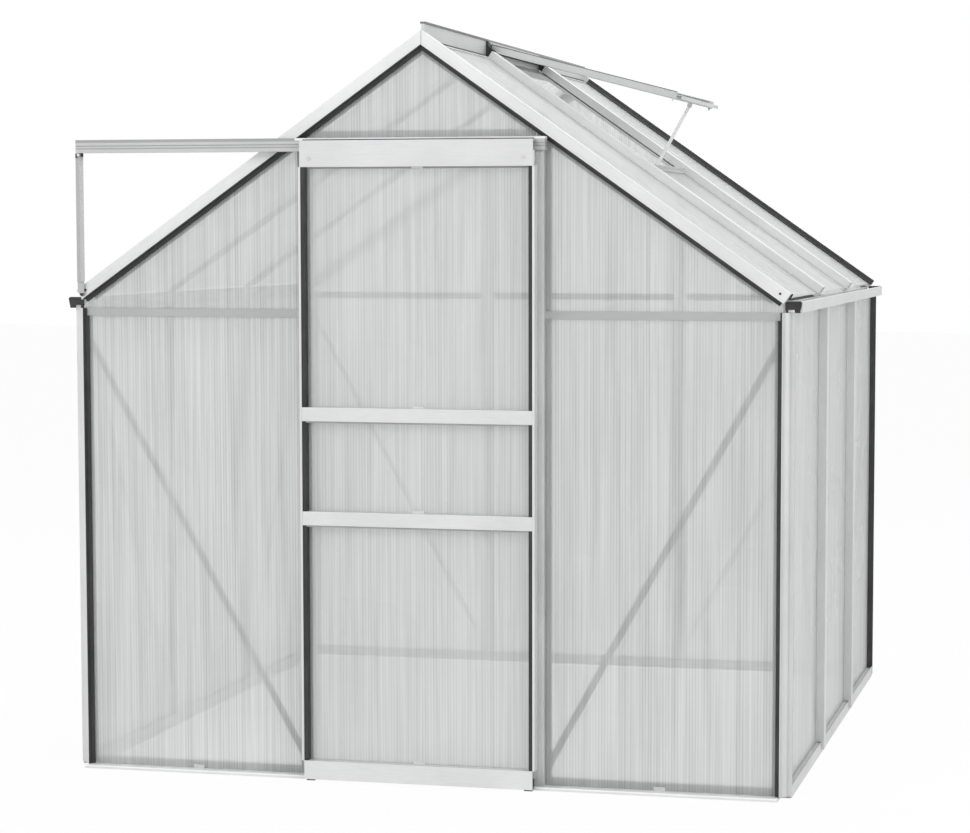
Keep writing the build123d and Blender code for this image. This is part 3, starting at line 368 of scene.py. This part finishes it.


# Shades: bands along axes, each from where it starts to where it is full, and the factor that multiplies the
# colour there. Most of them are painted light and shade, as each one's comment says.
# The ridge's top bead is darker, less so above the vent
bead_band = ("Z", RIDGE_TOP - RIDGE_BEAD - 0.0005, RIDGE_TOP - RIDGE_BEAD)
RIDGE_SHADES = [
    ([bead_band, ("Y", -0.29, -0.31)], (0.30, 0.30, 0.31)),
    ([bead_band, ("Y", -0.31, -0.29)], (0.46, 0.46, 0.47)),
]
# Painted light and shade on the track: a painted shade on its top lip left of the door, painted highlights
# along its top, and painted shade in its two grooves
TRACK_PAINTED_LIGHT_AND_SHADE = [
    ([("Z", 1.6668, 1.6674), ("Z", 1.6752, 1.6746), ("X", -0.328, -0.332)], grey(0.68)),
    ([("Z", 1.6746, 1.6752), ("X", -0.328, -0.332)], grey(1.60)),
    ([("Z", 1.6690, 1.6698), ("X", -0.332, -0.328)], grey(1.60)),
    ([("Z", 1.6504, 1.6507), ("Z", 1.6534, 1.6531)], grey(0.72)),
    ([("Z", 1.6574, 1.6577), ("Z", 1.6604, 1.6601)], grey(0.72)),
]
# Painted highlight on the top of the front sill's lip, which faces the light from above
LEDGE_PAINTED_HIGHLIGHT = [([("Z", 0.0050, 0.0053), ("Y", -0.9515, -0.9530)], grey(1.22))]
# Painted shade on the strut, darker towards its top under the track
STRUT_PAINTED_SHADE = [([("Z", 1.6210, 1.6400)], grey(0.62))]
# Painted shade on the front braces, which lie in shade behind the front panes, and painted light on the rear
# braces, which are backlit
BRACE_PAINTED_LIGHT_AND_SHADE = [([("Y", -0.930, -0.940)], grey(0.66)), ([("Y", 0.930, 0.940)], grey(1.17))]
# The front cross bars are darker, with a slight green tint; the rear cross bars' inner parts get a painted
# shade, nearly black, as they are backlit
CROSS_SHADES = [
    ([("Y", 0.01, -0.01)], (0.60, 0.625, 0.615)),
    ([("Y", -0.01, 0.01), ("Y", 0.9560, 0.9550)], grey(0.17)),
]
# Painted light on the inner sides of the side sills, which are in shade
INNER_SILL_PAINTED_LIGHT = [([("X", -0.949, -0.945), ("X", 0.949, 0.945)], grey(1.15))]
# Painted light on the left, lower part of the gable panes, which get less light
LEFT_SHEET_PAINTED_LIGHT = [([("X", -0.15, -0.45), ("Z", 1.30, 1.10)], grey(1.09))]

metal_x = aluminium("x", "x")
metal_z = aluminium("z", "z")
bright_steel = aluminium("screws", "z", 1.12)
seal = rubber("seal_rubber", 0.018, 0.045)
grey_rubber = rubber("grey_rubber", 0.15, 0.21)
pale_rubber = rubber("pale_rubber", 0.34, 0.42)
strip_rubber = rubber("strip_rubber", 0.52, 0.62)
black = moulded_plastic()
steel = plated_steel()


def finish(made, *names):
    for name in names:
        mesh = nodes[name].data
        mesh.materials.clear()
        mesh.materials.append(made)


# Copies of the aluminium for groups of parts: name, grain, brightness, shades and nodes. The brightness is
# painted light and shade: it makes the same aluminium lighter or darker where more or less light falls on the
# part.
METALS = (
    ("front_sill", "x", 1.08, LEDGE_PAINTED_HIGHLIGHT, ("sill_front",)),
    ("bottom_rail", "x", 1.05, (), ("door_rail_bottom",)),
    ("board", "x", 0.94, (), ("door_top_board",)),
    ("door_bolts", "z", 0.84, (), ("door_bolts",)),
    ("rear_sill", "x", 0.6, (), ("sill_rear",)),
    ("lintel", "x", 1.14, (), ("door_lintel",)),
    ("track", "x", 0.74, TRACK_PAINTED_LIGHT_AND_SHADE, ("door_track",)),
    ("cross_bars", "x", 1.0, CROSS_SHADES, ("cross_bars",)),
    ("stay", "z", 1.15, (), ("vent_stay",)),
    ("side_bars", "z", 0.9, (), ("side_bars_left", "side_bars_right")),
    ("left_posts", "z", 0.97, (), ("corner_post_front_left", "corner_post_rear_left")),
    ("right_posts", "z", 0.88, (), ("corner_post_front_right", "corner_post_rear_right")),
    ("door_posts", "z", 0.99, (), ("door_post_left", "door_post_right", "rear_gable_bars")),
    ("strut", "z", 0.67, STRUT_PAINTED_SHADE, ("track_strut",)),
    ("braces", "z", 1.0, BRACE_PAINTED_LIGHT_AND_SHADE, ("wind_braces",)),
    ("side_sills", "y", 0.88, INNER_SILL_PAINTED_LIGHT, ("sill_left", "sill_right")),
    ("vent_rails", "y", 0.92, (), ("vent_sill", "vent_hinge_rail", "vent_bottom_rail")),
    ("gutters", "y", 0.9, (), ("gutter_left", "gutter_right")),
    ("ridge", "y", 0.83, RIDGE_SHADES, ("ridge_bar",)),
    ("right_slope", "right_slope", 1.03, (), ("rafter_front_right", "rafter_rear_right", "roof_bars_right")),
    ("left_slope", "left_slope", 1.03, (), ("rafter_front_left", "rafter_rear_left", "roof_bars_left")),
    ("vent_sides", "vent_slope", 0.78, (), ("vent_side_rails",)),
)
for name, grain, bright, shades, names in METALS:
    finish(aluminium(name, grain, bright, shades), *names)
finish(metal_z, "door_stiles", "door_hangers")
# Each group of panes has its own brightness, painted light and shade for how much light falls on it, and its
# own opacity
finish(pane("gables", "X", 0.99, 0.31, LEFT_SHEET_PAINTED_LIGHT), "front_panes", "rear_panes")
finish(pane("door", "X", 1.01, 0.40, contrast=0.75), "door_panes")
finish(pane("sides", "Y", 0.96, 0.64), "side_panes_left", "side_panes_right")
finish(pane("roof", "Y", 0.99, 0.56), "roof_panes_left", "roof_panes_right", "vent_pane")
finish(seal, "gable_seals", "side_seals", "roof_seals", "door_seals")
finish(black, "gutter_end_caps", "ridge_plugs", "door_guides", "track_stops")
finish(steel, "door_roller_left", "door_roller_right", "roller_axles", "stay_pin", "stay_peg")


# Shapes of the small pieces that the solids leave out
SOFT = 0.0003
SOFT_RAIL = 0.0009
SOFT_SCREW = 0.0001


def prism(shape, section, axis, start, end):
    """Sweep a section along an axis. Its points give the other two coordinates, in the order x, y, z."""
    rings = []
    for place in (start, end):
        ring = []
        for a, b in section:
            corner = {"x": (place, a, b), "y": (a, place, b), "z": (a, b, place)}[axis]
            ring.append(shape.verts.new(corner))
        rings.append(ring)
        shape.faces.new(ring)
    first, last = rings
    for step in range(len(section)):
        after = (step + 1) % len(section)
        shape.faces.new((first[step], first[after], last[after], last[step]))


def lathe(shape, profile, centre, axis, steps=18):
    """Turn a profile of radius and height about an axis through the centre."""
    turn = Vector((0, 0, 1)).rotation_difference(Vector(axis)).to_matrix()
    rings = []
    for radius, height in profile:
        ring = []
        for step in range(steps if radius else 1):
            angle = math.tau * step / steps
            point = Vector((radius * math.cos(angle), radius * math.sin(angle), height))
            ring.append(shape.verts.new(Vector(centre) + turn @ point))
        rings.append(ring)
    for low, high in zip(rings, rings[1:]):
        for step in range(steps):
            after = step + 1
            lower = (low[step % len(low)], low[after % len(low)])
            upper = (high[after % len(high)], high[step % len(high)])
            shape.faces.new(list(dict.fromkeys(lower + upper)))


def piece(name, body, made, shape, soft=SOFT):
    """Turn a shape into a piece with softened edges that moves with a body."""
    bmesh.ops.recalc_face_normals(shape, faces=shape.faces[:])
    mesh = bpy.data.meshes.new(name)
    shape.to_mesh(mesh)
    shape.free()
    mesh.materials.append(made)
    obj = bpy.data.objects.new(name, mesh)
    scene.collection.objects.link(obj)
    edges = obj.modifiers.new("soft_edges", "BEVEL")
    edges.width = soft
    edges.segments = 2
    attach(obj, body)
    return obj


def strip(name, body, slot, made, section, axis, start, end):
    """A piece with one section all along."""
    shape = bmesh.new()
    prism(shape, section, axis, start, end)
    piece(name, body, made, shape)


def turned(name, body, slot, made, profile, places, axis):
    """A piece of one or more heads with the same profile and axis."""
    shape = bmesh.new()
    for place in places:
        lathe(shape, profile, place, axis)
    piece(name, body, made, shape, SOFT_SCREW)


def screw_profile(radius):
    """A pan head with a round socket."""
    points = ((0, 0), (1, 0), (1, 0.35), (0.75, 0.7), (0.42, 0.75), (0.36, 0.4), (0, 0.36))
    return [(radius * out, radius * up) for out, up in points]


def dome_profile(radius):
    """A low round head."""
    points = ((0, 0), (1, 0), (1, 0.2), (0.72, 0.38), (0.35, 0.46), (0, 0.48))
    return [(radius * out, radius * up) for out, up in points]


def on_slope(down, out, side):
    """The x and z of a point on a roof slope."""
    x = down * math.cos(SLOPE) + out * math.sin(SLOPE)
    z = APEX - down * math.sin(SLOPE) + out * math.cos(SLOPE)
    return side * x, z


def on_vent(along, out):
    """The x and z of a point on the vent, from its hinge."""
    x = HINGE_X + along * math.cos(VENT_TILT) + out * math.sin(VENT_TILT)
    z = HINGE_Z - along * math.sin(VENT_TILT) + out * math.cos(VENT_TILT)
    return x, z


# Clips that hold the front panes on the sill
SILL_CLIP_AT = 0.625
SILL_CLIP_HALF = 0.015
SILL_CLIP = [(-0.9582, 0.0056), (-0.9582, 0.0145), (-0.9598, 0.0157), (-0.9613, 0.0146), (-0.9600, 0.0132),
             (-0.9600, 0.0075), (-0.9680, 0.0071), (-0.9680, 0.0056)]
for side, way in SIDES:
    start = way * SILL_CLIP_AT - SILL_CLIP_HALF
    end = way * SILL_CLIP_AT + SILL_CLIP_HALF
    strip("sill_clip_" + side, "frame", "aluminium", metal_x, SILL_CLIP, "x", start, end)

# Grey gaskets behind the feet of the front panes; their grey also stands in for the shade on the sill's inner
# face, as painted shade
FOOT_GASKET = [(-0.9538, 0.0057), (-0.9502, 0.0057), (-0.9502, 0.0225), (-0.9512, 0.0240), (-0.9528, 0.0240),
               (-0.9538, 0.0225)]
FOOT_RUNS = (("left", -WALL_PANE_END, -DOOR_POST_EDGE), ("right", DOOR_POST_EDGE, WALL_PANE_END))
for side, start, end in FOOT_RUNS:
    strip("pane_foot_gasket_" + side, "frame", "seal", pale_rubber, FOOT_GASKET, "x", start, end)

# Pale strips that fill the troughs between the panes and the side and rear sills; their pale grey is painted
# light where the troughs would be in shade
TROUGH = ((0.0002, 0.0057), (0.0126, 0.0057), (0.0126, 0.0262), (0.0112, 0.0280), (0.0020, 0.0290),
          (0.0002, 0.0285))
TROUGH_RUNS = ((-WALL_PANE_END, -0.3465), (-0.3035, 0.3035), (0.3465, WALL_PANE_END))
for number, (start, end) in enumerate(TROUGH_RUNS, 1):
    for side, way in SIDES:
        section = [(way * (SIDE_PANE + out), up) for out, up in TROUGH]
        name = "side_foot_strip_%s_%d" % (side, number)
        strip(name, "frame", "seal", strip_rubber, section, "y", start, end)
    section = [(REAR_PANE + out, up) for out, up in TROUGH]
    strip("rear_foot_strip_%d" % number, "frame", "seal", strip_rubber, section, "x", start, end)

# Rails of the door, which lie over its seals, flush with its board
RAIL_FACE_BACK = -1.0284
RAIL_WALL = 0.002
shape = bmesh.new()
for centre in MIDDLE_RAILS:
    low = centre - MIDDLE_RAIL_HALF
    high = centre + MIDDLE_RAIL_HALF
    for x, y_front, y_back, z_low, z_high in (
            (0.3068, -1.0300, RAIL_FACE_BACK, low, high),
            (0.2968, RAIL_FACE_BACK, -1.0042, low, low + RAIL_WALL),
            (0.2968, RAIL_FACE_BACK, -1.0042, high - RAIL_WALL, high),
            (0.2910, RAIL_FACE_BACK, -0.9990, centre - RAIL_WALL / 2, centre + RAIL_WALL / 2),
            (0.2910, -0.9998, -0.9980, low, high)):
        corners = [(y_front, z_low), (y_back, z_low), (y_back, z_high), (y_front, z_high)]
        prism(shape, corners, "x", -x, x)
rails = piece("middle_rails", "door", metal_x, shape, SOFT_RAIL)
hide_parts("door_middle_rails")

# Grey strips under the rails: painted shadow that the rails cast on the door's panes
RAIL_SHADOW_STRIP = ((-1.0275, 0), (-1.0045, 0), (-1.0045, 0.0036), (-1.0262, 0.0042), (-1.0275, 0.0036))
RAIL_SHADOW_STRIP_END = 0.2965
for number, centre in enumerate(MIDDLE_RAILS, 1):
    gasket = [(y, centre - MIDDLE_RAIL_HALF - down) for y, down in RAIL_SHADOW_STRIP]
    name = "rail_shadow_strip_%d" % number
    strip(name, "door", "seal", pale_rubber, gasket, "x", -RAIL_SHADOW_STRIP_END, RAIL_SHADOW_STRIP_END)

# Clips on the door's bottom rail, board and rails
DOOR_CLIP = ((-1.0042, 0.0), (-1.0042, 0.0058), (-1.0056, 0.0070), (-1.0068, 0.0060), (-1.0058, 0.0048),
             (-1.0058, 0.0014), (-1.0096, 0.0012), (-1.0096, 0.0))
DOOR_CLIP_ENDS = (-0.016, 0.014)
clip_edges = [(0.055, 1), (1.600, -1)]
for centre in MIDDLE_RAILS:
    clip_edges += [(centre + MIDDLE_RAIL_HALF, 1), (centre - MIDDLE_RAIL_HALF, -1)]
for number, (edge, way) in enumerate(clip_edges, 1):
    section = [(y, edge + way * up) for y, up in DOOR_CLIP]
    strip("door_clip_%d" % number, "door", "aluminium", metal_x, section, "x", *DOOR_CLIP_ENDS)

# Black plugs in the rafters' holes
RAFTER_FACE = 0.969
RAFTER_PLUG = (0.9286, 1.2800)
for end, out in (("front", -1), ("rear", 1)):
    for side, way in SIDES:
        name = "rafter_plug_%s_%s" % (end, side)
        x, z = RAFTER_PLUG
        place = (way * x, out * RAFTER_FACE, z)
        turned(name, "frame", "black_plastic", black, dome_profile(0.0033), [place], (0, out, 0))

# Brackets below the track on the door posts, with their screws
BRACKET = ((0.3014, 1.5990), (0.3034, 1.5972), (0.3206, 1.5972), (0.3226, 1.5990), (0.3226, 1.6385),
           (0.3014, 1.6385))
BRACKET_FACES = (-0.9764, -0.9750)
BRACKET_SCREWS = ((0.3048, 1.6345), (0.3184, 1.6345), (0.3048, 1.6020))
BRACKET_SCREW_Y = -0.9763
FORWARD = (0, -1, 0)
for side, way in SIDES:
    section = [(way * x, z) for x, z in BRACKET]
    strip("post_bracket_" + side, "frame", "aluminium", metal_z, section, "y", *BRACKET_FACES)
    places = [(way * x, BRACKET_SCREW_Y, z) for x, z in BRACKET_SCREWS]
    turned("bracket_screws_" + side, "frame", "steel", bright_steel, screw_profile(0.0028), places, FORWARD)

# Black sleeve, screw and foot bolt of the strut
SLEEVE_LEFT = [(-0.9502, -0.9748), (-0.9420, -0.9803), (-0.9420, -0.9772), (-0.9480, -0.9748)]
SLEEVE_RIGHT = [(-0.9322, -0.9810), (-0.9268, -0.9748), (-0.9285, -0.9748), (-0.9322, -0.9778)]
SLEEVE_TOP = 1.6408
STRUT_SCREW = (-0.9371, -0.9840, 1.6366)
STRUT_FOOT_BOLT = (-0.9367, -0.9752, 1.2687)
shape = bmesh.new()
prism(shape, SLEEVE_LEFT, "z", 1.6290, SLEEVE_TOP)
prism(shape, SLEEVE_RIGHT, "z", 1.6315, SLEEVE_TOP)
piece("strut_sleeve", "frame", black, shape)
turned("strut_screw", "frame", "steel", bright_steel, screw_profile(0.0042), [STRUT_SCREW], FORWARD)
turned("strut_foot_bolt", "frame", "black_plastic", black, dome_profile(0.0050), [STRUT_FOOT_BOLT], FORWARD)

# Bolts at the ends of the braces, on their inner faces: distance along the wall and height
BRACE_BOLT = dome_profile(0.0042)
BRACE_BOLT_STEPS = 12
GABLE_BOLT_Y = 0.950
SIDE_BOLT_X = 0.940
FRONT_BOLTS = ((0.925, 1.152), (0.330, 0.052))
REAR_BOLTS = ((0.925, 1.152), (0.342, 0.066))
SIDE_BOLTS = ((0.935, 1.198), (0.342, 0.066))
shape = bmesh.new()
for side, way in SIDES:
    for x, z in FRONT_BOLTS:
        lathe(shape, BRACE_BOLT, (way * x, -GABLE_BOLT_Y, z), (0, 1, 0), BRACE_BOLT_STEPS)
    for x, z in REAR_BOLTS:
        lathe(shape, BRACE_BOLT, (way * x, GABLE_BOLT_Y, z), (0, -1, 0), BRACE_BOLT_STEPS)
    for end in (-1, 1):
        for y, z in SIDE_BOLTS:
            lathe(shape, BRACE_BOLT, (way * SIDE_BOLT_X, end * y, z), (-way, 0, 0), BRACE_BOLT_STEPS)
piece("brace_bolts", "frame", steel, shape, SOFT_SCREW)

# Rolled beads on the gutters' outer lips
BEAD_STEPS = 8
BEAD_RADIUS = 0.0019
BEAD_AT = (0.9790, 1.2584)
BEAD_END = 0.949
for side, way in SIDES:
    bead = []
    for step in range(BEAD_STEPS):
        angle = math.tau * step / BEAD_STEPS
        x = BEAD_AT[0] + BEAD_RADIUS * math.cos(angle)
        bead.append((way * x, BEAD_AT[1] + BEAD_RADIUS * math.sin(angle)))
    strip("gutter_bead_" + side, "frame", "aluminium", metal_x, bead, "y", -BEAD_END, BEAD_END)

# Dark edge strips on the vent's side walls
VENT_EDGE = ((0.0075, -0.0002), (0.5540, -0.0002), (0.5546, -0.0024), (0.0090, -0.0026))
section = [on_vent(along, out) for along, out in VENT_EDGE]
for side, way in (("near", -1), ("far", 1)):
    inner = way * (VENT_HALF - 0.0003)
    outer = way * (VENT_HALF + 0.0006)
    strip("vent_edge_" + side, "vent", "seal", grey_rubber, section, "y", inner, outer)

# Gaskets and bright lips where the roof panes meet the ridge
RIDGE_GASKET = ((0.0062, 0.0002), (0.0128, 0.0002), (0.0124, 0.0018), (0.0090, 0.0028), (0.0062, 0.0030))
RIDGE_LIP = ((0.0131, 0.0002), (0.0172, 0.0002), (0.0172, 0.0012), (0.0150, 0.0019), (0.0131, 0.0014))
RIDGE_RUNS = (
    ("right_front", 1, -ROOF_PANE_END, -BAR_EDGE),
    ("right_rear", 1, BAR_EDGE, ROOF_PANE_END),
    ("left", -1, -ROOF_PANE_END, ROOF_PANE_END),
)
for where, way, start, end in RIDGE_RUNS:
    gasket = [on_slope(down, out, way) for down, out in RIDGE_GASKET]
    strip("ridge_gasket_" + where, "frame", "seal", seal, gasket, "y", start, end)
    lip = [on_slope(down, out, way) for down, out in RIDGE_LIP]
    strip("ridge_lip_" + where, "frame", "aluminium", metal_x, lip, "y", start, end)

# Dark strip on the ridge's face below the vent's hinge
HINGE_GASKET = [(0.0041, 1.9360), (0.0052, 1.9366), (0.0056, 1.9400), (0.0056, 1.9480), (0.0052, 1.9514),
                (0.0041, 1.9520)]
HINGE_GASKET_END = 0.298
strip("hinge_gasket", "frame", "seal", seal, HINGE_GASKET, "y", -HINGE_GASKET_END, HINGE_GASKET_END)

# Brush along the top of the door's board, and grey strips under the board: painted shadow that the board casts
# on the panes
BRUSH = [(-1.0098, 1.6681), (-1.0080, 1.6681), (-1.0080, 1.6690), (-1.0085, 1.6712), (-1.0093, 1.6712),
         (-1.0098, 1.6690)]
BRUSH_END = 0.307
strip("door_brush", "door", "seal", seal, BRUSH, "x", -BRUSH_END, BRUSH_END)
HEAD_SHADOW_STRIP = [(-1.0042, 1.5999), (-1.0042, 1.5962), (-1.0050, 1.5956), (-1.0064, 1.5966), (-1.0064, 1.5999)]
for side, start, end in (("left", -0.297, -0.017), ("right", 0.015, 0.297)):
    strip("door_head_shadow_strip_" + side, "door", "seal", pale_rubber, HEAD_SHADOW_STRIP, "x", start, end)


# Floor, which shows white outside the house; inside it glows less, so that its own shade shows, and towards the
# left wall the glow falls further as a painted shade
FLOOR_HALF = 30
FLOOR_GLOW = 0.95
HOUSE_EDGE = (0.90, 0.94)
INSIDE_GLOW = (0.30, 0.52)
INSIDE_FROM_TO = (-0.90, -0.40)
made, tree, shader = material("studio_floor")
shader.inputs["Base Color"].default_value = (*grey(0.95), 1)
shader.inputs["Roughness"].default_value = 0.9
glow = add(tree, "ShaderNodeEmission")
glow.inputs["Strength"].default_value = 1.0
within = []
for axis in "XY":
    distance = add(tree, "ShaderNodeMath", operation="ABSOLUTE")
    join(tree, coordinate(tree, axis), distance.inputs[0])
    within.append(remap(tree, distance.outputs[0], 1.0, 0.0, *HOUSE_EDGE))
glowing = add(tree, "ShaderNodeMapRange")
glowing.inputs["To Min"].default_value = FLOOR_GLOW
join(tree, product(tree, within), glowing.inputs["Value"])
# Painted shade: the glow inside falls towards the left wall
inside_glow = remap(tree, coordinate(tree, "X"), *INSIDE_GLOW, *INSIDE_FROM_TO)
join(tree, inside_glow, glowing.inputs["To Max"])
share = product(tree, [background_rays(tree), glowing.outputs["Result"]])
join(tree, share, mixed(tree, shader.outputs[0], glow.outputs[0], surface(tree)))
corners = [(way_x * FLOOR_HALF, way_y * FLOOR_HALF, 0) for way_x, way_y in ((-1, -1), (1, -1), (1, 1), (-1, 1))]
floor_mesh = bpy.data.meshes.new("floor")
floor_mesh.from_pydata(corners, [], [(0, 1, 2, 3)])
floor_mesh.materials.append(made)
floor = bpy.data.objects.new("floor", floor_mesh)
scene.collection.objects.link(floor)
